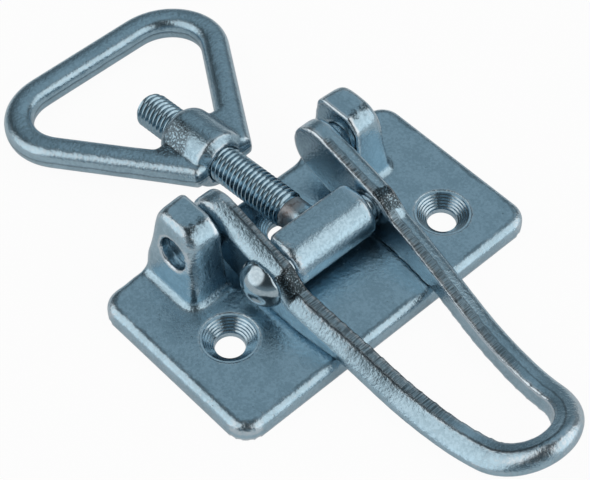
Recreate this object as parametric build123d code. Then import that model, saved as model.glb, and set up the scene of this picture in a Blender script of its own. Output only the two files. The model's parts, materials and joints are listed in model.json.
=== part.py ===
"""Adjustable over-centre latch: forged base, handle lever, T-bolt, rivet and screwed eye.

Frame: the origin is the middle of the base plate's underside. +X points along the closed
handle, +Y along the lever's pivot and +Z up. The latch is closed, with its eye lying just
above the surface that the plate is screwed to. Sizes are in millimetres and degrees.
"""
import os
from math import asin, atan2, cos, degrees, hypot, radians, sin, tan

from build123d import *

# Base plate
plate_length = 100.0
plate_width = 55.0
plate_thickness = 5.0
plate_corner_radius = 6.0
plate_rim_radius = 2.0

# Countersunk screw holes: one outside each lug, staggered, and one between the lugs
screw_hole_diameter = 8.0
countersink_diameter = 15.0
countersink_angle = 90.0
outer_hole_inset = 16.7
near_hole_setback = 24.0
far_hole_setback = 16.2
middle_hole_setback = 13.8

# Pivot: the lever's stubs turn in bores through the lugs
pivot_setback = 10.1
pivot_rise = 13.0
pivot_bore_diameter = 9.0
running_clearance = 0.05
stub_recess = 4.0

# Lugs, forged in one with the plate
lug_length = 19.1
lug_width = 11.7
lug_crown = 9.4
lug_draft = 7.0
lug_back_height = 4.0
lug_back_lean = 1.9
lug_bevel_run = 3.8
lug_bevel_drop = 3.1
lug_foot_radius = 2.4
lug_corner_radius = 2.5
lug_edge_radius = 1.9
lug_brow_radius = 3.5

# Lever: two cheeks, a step down to two legs, and a round grip loop
cheek_thickness = 6.5
cheek_to_lug = 2.0
cheek_nose_radius = 7.9
cheek_top_slope = 14.7
cheek_bottom_slope = 16.0
step_reach = 23.4
step_run = 5.0
step_drop = 4.2
step_radius = 2.4
leg_bend_reach = 31.0
leg_turn_radius = 60.0
leg_depth = 6.3
leg_bend_radius = 19.0
leg_slope_share = 0.66
leg_sweep_share = 0.8
leg_heel_radius = 6.0
loop_bar_width = 7.3
loop_bar_height = 5.8
loop_center_reach = 84.9
loop_outer_radius = 15.75
loop_lift_run = 10.0
loop_lift_radius = 41.0
lever_edge_radius = 2.2
rest_clearance = 0.4

# Trunnion: the rivet that carries the T-bolt between the cheeks
trunnion_reach = 19.2
trunnion_drop = 3.6
rivet_diameter = 8.0
rivet_head_diameter = 13.5
rivet_head_height = 5.0

# T-bolt: a cross barrel with a screwed rod
barrel_length = 28.2
barrel_side_clearance = 0.4
barrel_depth = 11.6
barrel_height = 12.0
barrel_front = 6.0
barrel_crown_radius = 7.4
barrel_sole_radius = 4.0
barrel_end_radius = 3.0
rod_diameter = 10.0
rod_reach = 69.0
rod_chamfer = 0.8
neck_diameter = 9.0
neck_length = 6.5

# Eye: a forged triangle screwed onto the rod
eye_bar_width = 8.0
eye_thickness = 7.0
eye_edge_radius = 2.6
eye_clearance = 0.3
eye_hook_reach = 95.8
eye_end_reach = 37.5
eye_apex_reach = 30.5
eye_half_angle = 33.0
eye_corner_radius = 9.8
eye_throat_reach = 53.5
boss_diameter = 16.4
boss_overhang = 2.4
boss_chamfer = 2.4
boss_nose_radius = 3.0
thread_clearance = 0.1

# Places that follow from the sizes above
plate_top = plate_thickness
eye_edge_x = -plate_width / 2
handle_edge_x = plate_width / 2
pivot_x = eye_edge_x + pivot_setback
pivot_z = plate_top + pivot_rise
trunnion_x = pivot_x + trunnion_reach
trunnion_z = pivot_z - trunnion_drop
cheek_inner_y = barrel_length / 2 + barrel_side_clearance
cheek_outer_y = cheek_inner_y + cheek_thickness
lug_inner_y = cheek_outer_y + cheek_to_lug
lug_outer_y = lug_inner_y + lug_width
lug_top_z = pivot_z + lug_crown
lug_height = lug_top_z - plate_top
hook_z = eye_thickness / 2 + eye_clearance
rod_slope = degrees(asin((trunnion_z - hook_z) / eye_hook_reach))
swing_room = 2 * max(plate_length, plate_width)

# How near two places count as one, and how straight an edge counts as upright or square
same_place = 0.001
upright_share = 0.8
square_share = 0.99


def along_y(face, half_length):
    """Extrude a face drawn as (x, z) to both sides of the latch's middle plane."""
    return extrude(Plane.XZ * face, half_length, both=True)


def pin_y(diameter, x, z, from_y, to_y):
    """A round pin along Y."""
    middle = (from_y + to_y) / 2
    return Pos(x, middle, z) * Rot(90, 0, 0) * Cylinder(diameter / 2, abs(to_y - from_y))


def countersunk_hole(x, y):
    """The cutter of one countersunk screw hole through the plate."""
    depth = (countersink_diameter - screw_hole_diameter) / 2 / tan(radians(countersink_angle / 2))
    shank = Pos(x, y, plate_top / 2) * Cylinder(screw_hole_diameter / 2, 2 * plate_top)
    seat = Cone(screw_hole_diameter / 2, countersink_diameter / 2, depth)
    return shank + Pos(x, y, plate_top - depth / 2) * seat


def lug(side):
    """One drafted lug, flush with the plate's eye edge, with stock left on its inner side."""
    lean = tan(radians(lug_draft))
    stock = lug_height * lean + lug_edge_radius
    foot = Pos(eye_edge_x, side * (lug_inner_y - stock + lug_outer_y) / 2, plate_top)
    block = extrude(foot * Rectangle(2 * lug_length, lug_width + stock), lug_height, taper=lug_draft)
    far_x = eye_edge_x + 2 * lug_length
    bevel_slope = lug_bevel_drop / lug_bevel_run
    bevel_x = eye_edge_x + lug_length - (lug_height - lug_bevel_drop) * lean - lug_bevel_run
    profile = make_face(Polyline(
        (eye_edge_x, plate_top),
        (eye_edge_x, plate_top + lug_back_height),
        (eye_edge_x + lug_back_lean, lug_top_z),
        (bevel_x, lug_top_z),
        (far_x, lug_top_z - (far_x - bevel_x) * bevel_slope),
        (far_x, plate_top),
        close=True,
    ))
    block &= along_y(profile, plate_length)
    corner = [
        edge for edge in block.edges()
        if abs(edge.tangent_at(0.5).Z) > upright_share and edge.center().X > pivot_x
        and side * edge.center().Y > lug_inner_y
    ]
    block = fillet(corner, lug_corner_radius)
    brow = block.faces().sort_by(Axis.Z)[-1].edges().sort_by(Axis.X)[0]
    return fillet(brow, lug_brow_radius)


def base_plate():
    """The forged base: plate, two bored lugs milled flat inside, and three screw holes."""
    base = extrude(RectangleRounded(plate_width, plate_length, plate_corner_radius), plate_thickness)
    for side in (-1, 1):
        base += lug(side)

    def on_top(edge):
        return all(abs((edge @ end).Z - plate_top) < same_place for end in (0, 1))

    def on_rim(edge):
        middle = edge.center()
        near_side = abs(middle.X) > plate_width / 2 - plate_corner_radius / 2
        near_end = abs(middle.Y) > plate_length / 2 - plate_corner_radius / 2
        return near_side or near_end

    def on_crown(edge):
        middle = edge.center()
        return (
            middle.Z > lug_top_z - lug_bevel_drop - lug_bevel_run / 2
            and middle.X > pivot_x - lug_brow_radius
            and abs(middle.Y) > lug_inner_y + lug_edge_radius / 2
        )

    base = fillet([e for e in base.edges() if on_top(e) and not on_rim(e)], lug_foot_radius)
    base = fillet([e for e in base.edges() if on_top(e) and on_rim(e)], plate_rim_radius)
    slot = Box(2 * plate_width, 2 * lug_inner_y, 2 * lug_height)
    base -= Pos(0, 0, plate_top + lug_height) * slot
    base = fillet([e for e in base.edges() if on_crown(e)], lug_edge_radius)
    for side in (-1, 1):
        base -= pin_y(pivot_bore_diameter, pivot_x, pivot_z, side * cheek_outer_y, side * plate_length)
    outer_hole_y = plate_length / 2 - outer_hole_inset
    base -= countersunk_hole(handle_edge_x - near_hole_setback, -outer_hole_y)
    base -= countersunk_hole(handle_edge_x - far_hole_setback, outer_hole_y)
    base -= countersunk_hole(eye_edge_x + middle_hole_setback, 0)
    return base


def lever_side():
    """The lever seen along its pivot, as a face in (x, z)."""
    top_slope = tan(radians(cheek_top_slope))
    bottom_slope = tan(radians(cheek_bottom_slope))
    nose_top = (
        pivot_x + cheek_nose_radius * sin(radians(cheek_top_slope)),
        pivot_z + cheek_nose_radius * cos(radians(cheek_top_slope)),
    )
    nose_bottom = (
        pivot_x - cheek_nose_radius * sin(radians(cheek_bottom_slope)),
        pivot_z - cheek_nose_radius * cos(radians(cheek_bottom_slope)),
    )
    step_x = pivot_x + step_reach
    step_z = nose_top[1] - (step_x - nose_top[0]) * top_slope
    knee_x, knee_z = step_x + step_run, step_z - step_drop
    leg_bottom_z = plate_top + rest_clearance
    heel_x = nose_bottom[0] + (nose_bottom[1] - leg_bottom_z) / bottom_slope
    loop_x = pivot_x + loop_center_reach
    lift_x = loop_x - loop_lift_run
    loop_top_z = rest_clearance + loop_bar_height
    leg_top_z = leg_bottom_z + leg_depth
    brow_x = handle_edge_x + rest_clearance
    flat_x = brow_x + leg_slope_share * (lift_x - brow_x)
    lift_z = rest_clearance + loop_lift_radius
    lift_top_radius = loop_lift_radius - loop_bar_height
    lift_turn = asin((loop_lift_run + loop_outer_radius + rest_clearance) / lift_top_radius)

    def lifted(radius, turn):
        return lift_x + radius * sin(turn), lift_z - radius * cos(turn)

    def lift_arc(radius, from_turn, to_turn):
        middle_turn = (from_turn + to_turn) / 2
        return ThreePointArc(lifted(radius, from_turn), lifted(radius, middle_turn), lifted(radius, to_turn))

    top_tip, bottom_tip = lifted(lift_top_radius, lift_turn), lifted(loop_lift_radius, lift_turn)
    upper = Polyline(
        (pivot_x, pivot_z),
        nose_top,
        (step_x, step_z),
        (knee_x, knee_z),
        (brow_x, leg_top_z),
        (flat_x, loop_top_z),
        (lift_x, loop_top_z),
    )
    lower = Polyline(
        (lift_x, rest_clearance),
        (flat_x, rest_clearance),
        (brow_x, leg_bottom_z),
        (heel_x, leg_bottom_z),
        nose_bottom,
        (pivot_x, pivot_z),
    )
    upper_lift = lift_arc(lift_top_radius, 0, lift_turn)
    lower_lift = lift_arc(loop_lift_radius, lift_turn, 0)
    outline = make_face([upper, upper_lift, Line(top_tip, bottom_tip), lower_lift, lower])

    def sweep_radius(drop):
        half_slope = atan2(drop, flat_x - brow_x) / 2
        return leg_sweep_share * (lift_x - flat_x) / tan(half_slope)

    def soften(face, x, z, radius):
        corner = face.vertices().sort_by_distance((x, z, 0))[0]
        return fillet(corner, radius)

    outline = soften(outline, step_x, step_z, step_radius)
    outline = soften(outline, knee_x, knee_z, step_radius)
    outline = soften(outline, brow_x, leg_top_z, leg_bend_radius)
    outline = soften(outline, flat_x, loop_top_z, sweep_radius(leg_top_z - loop_top_z))
    outline = soften(outline, flat_x, rest_clearance, sweep_radius(leg_bottom_z - rest_clearance))
    outline = soften(outline, brow_x, leg_bottom_z, leg_heel_radius)
    outline = soften(outline, heel_x, leg_bottom_z, leg_bend_radius)
    return outline + Pos(pivot_x, pivot_z) * Circle(cheek_nose_radius)


def tangent_point(from_x, from_y, center_x, radius):
    """Where the line from a point outside touches a circle about (center_x, 0), on the +Y side."""
    reach = hypot(center_x - from_x, from_y)
    bearing = atan2(from_y, from_x - center_x)
    turn = asin((reach ** 2 - radius ** 2) ** 0.5 / reach)
    return center_x + radius * cos(bearing - turn), radius * sin(bearing - turn)


def prong(half_width, radius):
    """A straight-sided tongue along X that narrows from the leg bend to the loop's arc."""
    bend_x = pivot_x + leg_bend_reach
    loop_x = pivot_x + loop_center_reach
    back_x = pivot_x - swing_room
    touch_x, touch_y = tangent_point(bend_x, half_width, loop_x, radius)
    sides = [(back_x, half_width), (bend_x, half_width), (touch_x, touch_y), (loop_x, 0)]
    mirrored = [(x, -y) for x, y in reversed(sides[:-1])]
    tongue = make_face(Polyline(*sides, *mirrored, close=True))
    bends = [v for v in tongue.vertices() if abs(v.X - bend_x) < same_place]
    return fillet(bends, leg_turn_radius) + Pos(loop_x, 0) * Circle(radius)


def lever():
    """The forged U-shaped handle with its two pivot stubs and the rivet's holes."""
    plan = prong(cheek_outer_y, loop_outer_radius) - prong(cheek_inner_y, loop_outer_radius - loop_bar_width)
    body = extrude(plan, swing_room, both=True) & along_y(lever_side(), swing_room)
    loop_x = pivot_x + loop_center_reach
    middle_y = (cheek_inner_y + cheek_outer_y) / 2
    middle_radius = loop_outer_radius - loop_bar_width / 2

    def runs_along(edge):
        heading = edge.tangent_at(0.5)
        on_loop = edge.center().X > loop_x
        return abs(heading.Z) < square_share and (on_loop or abs(heading.Y) < square_share)

    def is_outer(edge):
        spot = edge.position_at(0.5)
        if spot.X > loop_x:
            return hypot(spot.X - loop_x, spot.Y) > middle_radius
        share = (spot.X - pivot_x) / loop_center_reach
        return abs(spot.Y) > middle_y + (middle_radius - middle_y) * max(share, 0)

    rims = [e for e in body.edges() if runs_along(e)]
    body = fillet([e for e in rims if is_outer(e)], lever_edge_radius)
    stub_diameter = pivot_bore_diameter - 2 * running_clearance
    stub_end_y = lug_outer_y - stub_recess
    for side in (-1, 1):
        body += pin_y(stub_diameter, pivot_x, pivot_z, side * middle_y, side * stub_end_y)
    return body - pin_y(rivet_diameter, trunnion_x, trunnion_z, -swing_room, swing_room)


def trunnion_rivet():
    """The rivet through both cheeks, with a domed head at each end."""
    shank_radius = rivet_diameter / 2
    head_radius = rivet_head_diameter / 2
    dome_radius = (head_radius ** 2 + rivet_head_height ** 2) / (2 * rivet_head_height)
    tip_y = cheek_outer_y + rivet_head_height
    half_turn = asin(head_radius / dome_radius) / 2
    arc_x = dome_radius * sin(half_turn)
    arc_y = tip_y - dome_radius * (1 - cos(half_turn))
    upper_dome = ThreePointArc((head_radius, cheek_outer_y), (arc_x, arc_y), (0, tip_y))
    lower_dome = ThreePointArc((0, -tip_y), (arc_x, -arc_y), (head_radius, -cheek_outer_y))
    side = Polyline(
        (head_radius, -cheek_outer_y),
        (shank_radius, -cheek_outer_y),
        (shank_radius, cheek_outer_y),
        (head_radius, cheek_outer_y),
    )
    section = make_face([lower_dome, side, upper_dome, Line((0, tip_y), (0, -tip_y))])
    return Pos(trunnion_x, 0, trunnion_z) * revolve(section, Axis.Y)


def on_rod(shape):
    """Place a shape drawn with the trunnion at the origin and the rod along -X."""
    return Pos(trunnion_x, 0, trunnion_z) * Rot(0, -rod_slope, 0) * shape


def rod_x(diameter, from_reach, to_reach):
    """A cylinder along the rod, between two distances from the trunnion."""
    middle = -(from_reach + to_reach) / 2
    return Pos(middle, 0, 0) * Rot(0, 90, 0) * Cylinder(diameter / 2, abs(to_reach - from_reach))


def t_bolt():
    """The cross barrel, bored for the rivet, with its neck and screwed rod."""
    section = Pos(barrel_depth / 2 - barrel_front, 0) * Rectangle(barrel_depth, barrel_height)
    back = section.vertices().group_by(Axis.X)[-1].sort_by(Axis.Y)
    section = fillet(back[-1], barrel_crown_radius)
    sole = section.vertices().group_by(Axis.Y)[0].sort_by(Axis.X)
    section = fillet(sole[-1], barrel_sole_radius)
    barrel = extrude(Plane.XZ * section, barrel_length / 2, both=True)
    ends = barrel.faces().group_by(Axis.Y)
    rims = ends[0].edges() + ends[-1].edges()
    barrel = fillet(rims, barrel_end_radius)
    neck_end = barrel_front + neck_length
    neck = rod_x(neck_diameter, 0, neck_end)
    rod = rod_x(rod_diameter, neck_end, rod_reach)
    tip = rod.edges().filter_by(GeomType.CIRCLE).group_by(Axis.X)
    rod = chamfer(tip[0] + tip[-1], rod_chamfer)
    bore = Rot(90, 0, 0) * Cylinder(rivet_diameter / 2 + running_clearance, 2 * barrel_length)
    return on_rod(barrel + neck + rod - bore)


def eye_outline(offset, start_reach, corner_radius):
    """A rounded triangle about the eye bar's middle line, moved outwards by an offset."""
    slope = tan(radians(eye_half_angle))
    spread = offset / cos(radians(eye_half_angle))
    hook = eye_hook_reach + offset
    start_y = (start_reach - eye_apex_reach) * slope + spread
    hook_y = (hook - eye_apex_reach) * slope + spread
    triangle = make_face(Polyline(
        (-start_reach, start_y), (-hook, hook_y), (-hook, -hook_y), (-start_reach, -start_y), close=True))
    corners = triangle.vertices().group_by(Axis.X)[0]
    return fillet(corners, corner_radius)


def eye():
    """The forged triangular eye with its screwed boss."""
    half_bar = eye_bar_width / 2
    outer = eye_outline(half_bar, eye_end_reach, eye_corner_radius + eye_bar_width)
    inner = eye_outline(-half_bar, eye_throat_reach, eye_corner_radius)
    ring = extrude(outer - inner, eye_thickness / 2, both=True)
    faces = ring.faces().group_by(Axis.Z)
    rims = faces[0].edges() + faces[-1].edges()
    ring = fillet(rims, eye_edge_radius)
    boss = rod_x(boss_diameter, eye_end_reach, eye_throat_reach + boss_overhang)
    ends = boss.edges().filter_by(GeomType.CIRCLE).group_by(Axis.X)
    boss = fillet(ends[0], boss_nose_radius)
    ends = boss.edges().filter_by(GeomType.CIRCLE).group_by(Axis.X)
    boss = chamfer(ends[-1], boss_chamfer)
    bore = rod_x(rod_diameter + 2 * thread_clearance, 0, rod_reach)
    return on_rod(ring + boss - bore)


def main():
    """Build every piece and write one STEP file for each."""
    os.makedirs("parts", exist_ok=True)
    pieces = {
        "base_plate": base_plate(),
        "lever": lever(),
        "trunnion_rivet": trunnion_rivet(),
        "t_bolt": t_bolt(),
        "eye": eye(),
    }
    for name, piece in pieces.items():
        export_step(piece, f"parts/{name}.step")


main()
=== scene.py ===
"""Looks of a forged, zinc-plated adjustable latch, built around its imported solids.

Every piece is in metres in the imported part's own frame: +X along the closed handle, +Y along the
lever's pivot and +Z out of the surface that the latch is screwed to.
"""

import json
import logging
import math
from dataclasses import dataclass, field
from enum import Enum

import bmesh
import bpy
import numpy as np
from mathutils import Matrix, Vector


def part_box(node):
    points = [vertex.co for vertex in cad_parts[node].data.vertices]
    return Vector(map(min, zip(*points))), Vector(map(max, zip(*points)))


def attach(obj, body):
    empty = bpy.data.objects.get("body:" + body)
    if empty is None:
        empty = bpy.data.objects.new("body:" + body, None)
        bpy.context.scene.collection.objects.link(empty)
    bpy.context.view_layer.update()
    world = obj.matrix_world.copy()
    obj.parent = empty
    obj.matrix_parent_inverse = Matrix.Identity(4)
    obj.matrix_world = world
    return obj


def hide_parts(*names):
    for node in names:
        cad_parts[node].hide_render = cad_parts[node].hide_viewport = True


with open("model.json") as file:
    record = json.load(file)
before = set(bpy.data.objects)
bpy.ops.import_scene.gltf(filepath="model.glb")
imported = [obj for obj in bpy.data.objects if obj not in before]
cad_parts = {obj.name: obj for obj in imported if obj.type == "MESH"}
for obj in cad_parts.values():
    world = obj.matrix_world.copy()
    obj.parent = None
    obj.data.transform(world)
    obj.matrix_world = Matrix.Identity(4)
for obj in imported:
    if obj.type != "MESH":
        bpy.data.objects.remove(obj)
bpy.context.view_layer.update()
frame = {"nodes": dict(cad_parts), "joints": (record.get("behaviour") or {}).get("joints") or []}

MM = 0.001
TINY = 1e-9
BEND = "bend"
PAST_STRIP = "past_strip"
LOG = logging.getLogger("adjustable_latch")

Socket = bpy.types.NodeSocket
Pair = tuple[float, float]
Place = tuple[float, float, float]
Rgb = tuple[float, float, float]


class Grain(Enum):
    """How coarse the worked steel under the zinc is: the sizes of its bumps, in metres."""

    FORGED = (0.075 * MM, 0.043 * MM)
    ROLLED = (0.012 * MM, 0.006 * MM)
    POLISHED = (0.004 * MM, 0.0006 * MM)


class Detail(Enum):
    """How many finer octaves a noise has."""

    SOFT = 2.0
    PLAIN = 3.0
    TATTERED = 4.0
    LEATHERY = 5.0


@dataclass(frozen=True)
class Specks:
    """Specks of about one size: the noise at which they are gone, and at which they are full."""

    size: float
    gone_at: float
    full_at: float
    detail: Detail = Detail.PLAIN


class Graph:
    """A small builder for node trees."""

    def __init__(self, tree: bpy.types.NodeTree) -> None:
        """Start with an empty tree.

        Args:
            tree: The node tree to fill.
        """
        self.tree = tree
        tree.nodes.clear()

    def node(self, kind: str, **settings: object) -> bpy.types.Node:
        """Add one node.

        Args:
            kind: The node's type name.
            settings: Properties to set on it.

        Returns:
            The new node.
        """
        made = self.tree.nodes.new(kind)
        for name, value in settings.items():
            setattr(made, name, value)
        return made

    def feed(self, socket: Socket, value: object) -> None:
        """Link a socket into an input, or set the input's own value.

        Args:
            socket: The input.
            value: A socket or a plain value.
        """
        if isinstance(value, bpy.types.NodeSocket):
            self.tree.links.new(value, socket)
        else:
            socket.default_value = value

    def wire(self, kind: str, feeds: dict[str, object], **settings: object) -> Socket:
        """Add a node, feed its named inputs and give its first output.

        Args:
            kind: The node's type name.
            feeds: What goes into which input.
            settings: Properties to set on the node.

        Returns:
            The first output.
        """
        made = self.node(kind, **settings)
        for name, value in feeds.items():
            self.feed(made.inputs[name], value)
        return made.outputs[0]

    def math(self, operation: str, *values: object) -> Socket:
        """Add a Math node.

        Args:
            operation: The node's operation.
            values: Sockets or numbers for its inputs, in order.

        Returns:
            The node's output.
        """
        made = self.node("ShaderNodeMath", operation=operation)
        for socket, value in zip(made.inputs, values):
            self.feed(socket, value)
        return made.outputs[0]

    def split(self, vector: Socket) -> list[Socket]:
        """Give a vector's three parts."""
        made = self.node("ShaderNodeSeparateXYZ")
        self.feed(made.inputs[0], vector)
        return list(made.outputs)

    def step(self, value: Socket, low: float, high: float) -> Socket:
        """Rise smoothly from 0 at low to 1 at high; low may be above high.

        Args:
            value: What is compared.
            low: Where the step is still 0.
            high: Where the step is 1.

        Returns:
            The step, from 0 to 1.
        """
        made = self.node("ShaderNodeMapRange", interpolation_type="SMOOTHSTEP")
        ends = (value, low, high, 0.0, 1.0) if low < high else (value, high, low, 1.0, 0.0)
        for socket, end in zip(made.inputs, ends):
            self.feed(socket, end)
        return made.outputs[0]

    def noise(self, vector: Socket, size: float, detail: Detail = Detail.PLAIN) -> Socket:
        """Add a noise whose blotches are about the given size.

        Args:
            vector: The coordinates that it reads, in metres.
            size: The blotch size in metres.
            detail: How many finer octaves it has.

        Returns:
            The noise, from about 0 to 1.
        """
        made = self.node("ShaderNodeTexNoise")
        self.feed(made.inputs["Vector"], vector)
        made.inputs["Scale"].default_value = 1.0 / size
        made.inputs["Detail"].default_value = detail.value
        return made.outputs[0]

    def mix(self, share: Socket, first: object, second: object) -> Socket:
        """Mix two colours.

        Args:
            share: How much of the second colour shows.
            first: A colour or a socket.
            second: A colour or a socket.

        Returns:
            The mixed colour.
        """
        made = self.node("ShaderNodeMix", data_type="RGBA")
        self.feed(made.inputs[0], share)
        self.feed(made.inputs[6], first)
        self.feed(made.inputs[7], second)
        return made.outputs[2]

    def stretched(self, vector: Socket, scale: Place, turn: float = 0.0) -> Socket:
        """Scale and turn coordinates, so that a noise runs along one way.

        Args:
            vector: The coordinates.
            scale: A factor for each axis.
            turn: A turn about Y in radians.

        Returns:
            The new coordinates.
        """
        feeds = {"Vector": vector, "Rotation": (0.0, turn, 0.0), "Scale": scale}
        return self.wire("ShaderNodeMapping", feeds)

    def product(self, *values: object) -> Socket:
        """Multiply sockets and numbers.

        Args:
            values: Two or more of them.

        Returns:
            The product.
        """
        total, *others = values
        for other in others:
            total = self.math("MULTIPLY", total, other)
        return total

    def ragged(self, value: object, noise: Socket, reach: float) -> Socket:
        """Shift a value by a noise, to both sides of itself.

        Args:
            value: A socket or a number.
            noise: A noise, from about 0 to 1.
            reach: The shift between the noise's ends.

        Returns:
            The shifted value.
        """
        return self.math("ADD", value, self.math("MULTIPLY_ADD", noise, reach, -0.5 * reach))

    def specks(self, vector: Socket, kind: Specks) -> Socket:
        """Scatter specks over a surface.

        Args:
            vector: The coordinates that they lie in, in metres.
            kind: Which specks they are.

        Returns:
            How fully a speck shows, from 0 to 1.
        """
        return self.step(self.noise(vector, kind.size, kind.detail), kind.gone_at, kind.full_at)

    def vectors(self, operation: str, first: Socket, second: Place) -> Socket:
        """Add a Vector Math node.

        Args:
            operation: DISTANCE, DOT_PRODUCT or SUBTRACT.
            first: A vector.
            second: The fixed vector that it is set against.

        Returns:
            The number or vector that the operation gives.
        """
        made = self.node("ShaderNodeVectorMath", operation=operation)
        self.feed(made.inputs[0], first)
        self.feed(made.inputs[1], second)
        return made.outputs["Vector" if operation == "SUBTRACT" else "Value"]

    def point(self, **parts: object) -> Socket:
        """Join X, Y and Z into a vector; a part that is left out is 0."""
        return self.wire("ShaderNodeCombineXYZ", parts)

    def attribute(self, name: str) -> Socket:
        """Read a number that is stored on the mesh."""
        return self.node("ShaderNodeAttribute", attribute_name=name).outputs["Fac"]


class GeoGraph(Graph):
    """A builder for one Geometry Nodes tree with named number inputs."""

    def __init__(self, name: str) -> None:
        """Start a tree with a geometry input and output.

        Args:
            name: The tree's name.
        """
        super().__init__(bpy.data.node_groups.new(name, "GeometryNodeTree"))
        faces = self.tree.interface
        faces.new_socket("Geometry", in_out="INPUT", socket_type="NodeSocketGeometry")
        faces.new_socket("Geometry", in_out="OUTPUT", socket_type="NodeSocketGeometry")
        self.entry = self.node("NodeGroupInput")
        self.settings: dict[str, float] = {}

    def number(self, name: str, value: float) -> Socket:
        """Add a named number input.

        Args:
            name: The input's name.
            value: What it is set to.

        Returns:
            The input, for linking on.
        """
        kind = "NodeSocketInt" if isinstance(value, int) else "NodeSocketFloat"
        made = self.tree.interface.new_socket(name, in_out="INPUT", socket_type=kind)
        self.settings[made.identifier] = value
        return self.entry.outputs[name]

    def joined(self, *shapes: Socket) -> Socket:
        """Join shapes into one geometry.

        Args:
            shapes: The geometries, in order.

        Returns:
            The joined geometry.
        """
        made = self.node("GeometryNodeJoinGeometry")
        for shape in shapes:
            self.feed(made.inputs[0], shape)
        return made.outputs[0]

    def mesh(self, shape: Socket, material: bpy.types.Material, points: list[Vector]) -> bpy.types.Mesh:
        """Close the tree and turn what it makes into a plain mesh.

        Args:
            shape: The finished geometry.
            material: What it is made of.
            points: Points that the tree gets as its geometry.

        Returns:
            The mesh.
        """
        real = self.wire("GeometryNodeRealizeInstances", {"Geometry": shape})
        dressed = self.wire("GeometryNodeSetMaterial", {"Geometry": real, "Material": material})
        exit_node = self.node("NodeGroupOutput")
        self.feed(exit_node.inputs[0], dressed)
        seeds = bpy.data.meshes.new(self.tree.name + "_points")
        seeds.from_pydata(points, [], [])
        return worked_in(seeds, "NODES", self.settings, node_group=self.tree)


def placed(name: str, data: bpy.types.ID) -> bpy.types.Object:
    """Put a new object into the scene.

    Args:
        name: Its name.
        data: Its mesh or camera.

    Returns:
        The object.
    """
    made = bpy.data.objects.new(name, data)
    bpy.context.scene.collection.objects.link(made)
    return made


def worked_in(mesh: bpy.types.Mesh, kind: str, inputs: dict[str, float] | None = None,
              **settings: object) -> bpy.types.Mesh:
    """Work one modifier into a mesh.

    Args:
        mesh: The mesh, which is used up.
        kind: The modifier's type.
        inputs: Values for a node tree's inputs, by identifier.
        settings: Properties to set on the modifier.

    Returns:
        The new mesh.
    """
    holder = placed(mesh.name + "_holder", mesh)
    maker = holder.modifiers.new(kind.lower(), kind)
    for name, value in settings.items():
        setattr(maker, name, value)
    for identifier, value in (inputs or {}).items():
        maker[identifier] = value
    view = bpy.context.evaluated_depsgraph_get()
    made = bpy.data.meshes.new_from_object(holder.evaluated_get(view))
    holder.modifiers.clear()
    bpy.data.objects.remove(holder)
    bpy.data.meshes.remove(mesh)
    return made


def joint_of(name: str) -> dict:
    """Give one packed joint by name."""
    return next(joint for joint in frame["joints"] if joint["name"] == name)


def ramp(values: np.ndarray, low: float, high: float) -> np.ndarray:
    """Rise evenly from 0 at low to 1 at high; low may be above high.

    Args:
        values: What is compared.
        low: Where the ramp is still 0.
        high: Where the ramp is 1.

    Returns:
        A share from 0 to 1 for each value.
    """
    return np.clip((values - low) / (high - low), 0, 1)


@dataclass(frozen=True)
class PlateForm:
    """The plate's outline, a rectangle with round corners about the part's origin, and its top."""

    half_width: float = 27.5 * MM
    half_length: float = 50.0 * MM
    corner: float = 6.0 * MM
    top: float = 5.0 * MM

    def shaded_inset(self, graph: Graph, spot: Socket) -> Socket:
        """Measure how far inside the outline a shaded spot is.

        Args:
            graph: The material's builder.
            spot: Object coordinates in metres.

        Returns:
            The inset in metres.
        """
        x, y, _ = graph.split(spot)
        over_x = graph.math("SUBTRACT", graph.math("ABSOLUTE", x), self.half_width - self.corner)
        over_y = graph.math("SUBTRACT", graph.math("ABSOLUTE", y), self.half_length - self.corner)
        out = graph.point(X=graph.math("MAXIMUM", over_x, 0.0), Y=graph.math("MAXIMUM", over_y, 0.0))
        round_part = graph.vectors("DISTANCE", out, (0.0, 0.0, 0.0))
        flat_part = graph.math("MINIMUM", graph.math("MAXIMUM", over_x, over_y), 0.0)
        return graph.math("SUBTRACT", self.corner, graph.math("ADD", round_part, flat_part))

    def insets(self, spots: np.ndarray) -> tuple[np.ndarray, np.ndarray]:
        """Measure how far inside the outline points are, and which way is out.

        Args:
            spots: Points in metres, one row each.

        Returns:
            The insets in metres, and a flat direction for each point.
        """
        over = np.abs(spots[:, :2]) - (np.array((self.half_width, self.half_length)) - self.corner)
        round_part = np.maximum(over, 0.0)
        reach = np.hypot(round_part[:, 0], round_part[:, 1])
        inset = self.corner - reach - np.minimum(over.max(axis=1), 0.0)
        straight = np.eye(2)[over.argmax(axis=1)]
        outward = np.where(reach[:, None] > 0, round_part / np.maximum(reach, TINY)[:, None], straight)
        return inset, outward * np.sign(spots[:, :2])


@dataclass
class Coat:
    """A finish in the making: what its nodes read, and its colour, roughness and bump so far."""

    graph: Graph
    spot: Socket
    facing: Socket
    colour: Socket
    rough: Socket
    height: Socket

    # Lays real stains and wear, and also the painted shade in hollows and the painted dark reflection inside
    # the plate's rim.
    def tint_over(self, share: Socket, tint: Rgb) -> None:
        """Lay a tint over the colour; share says how much of it shows."""
        self.colour = self.graph.mix(share, self.colour, (*tint, 1.0))


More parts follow.
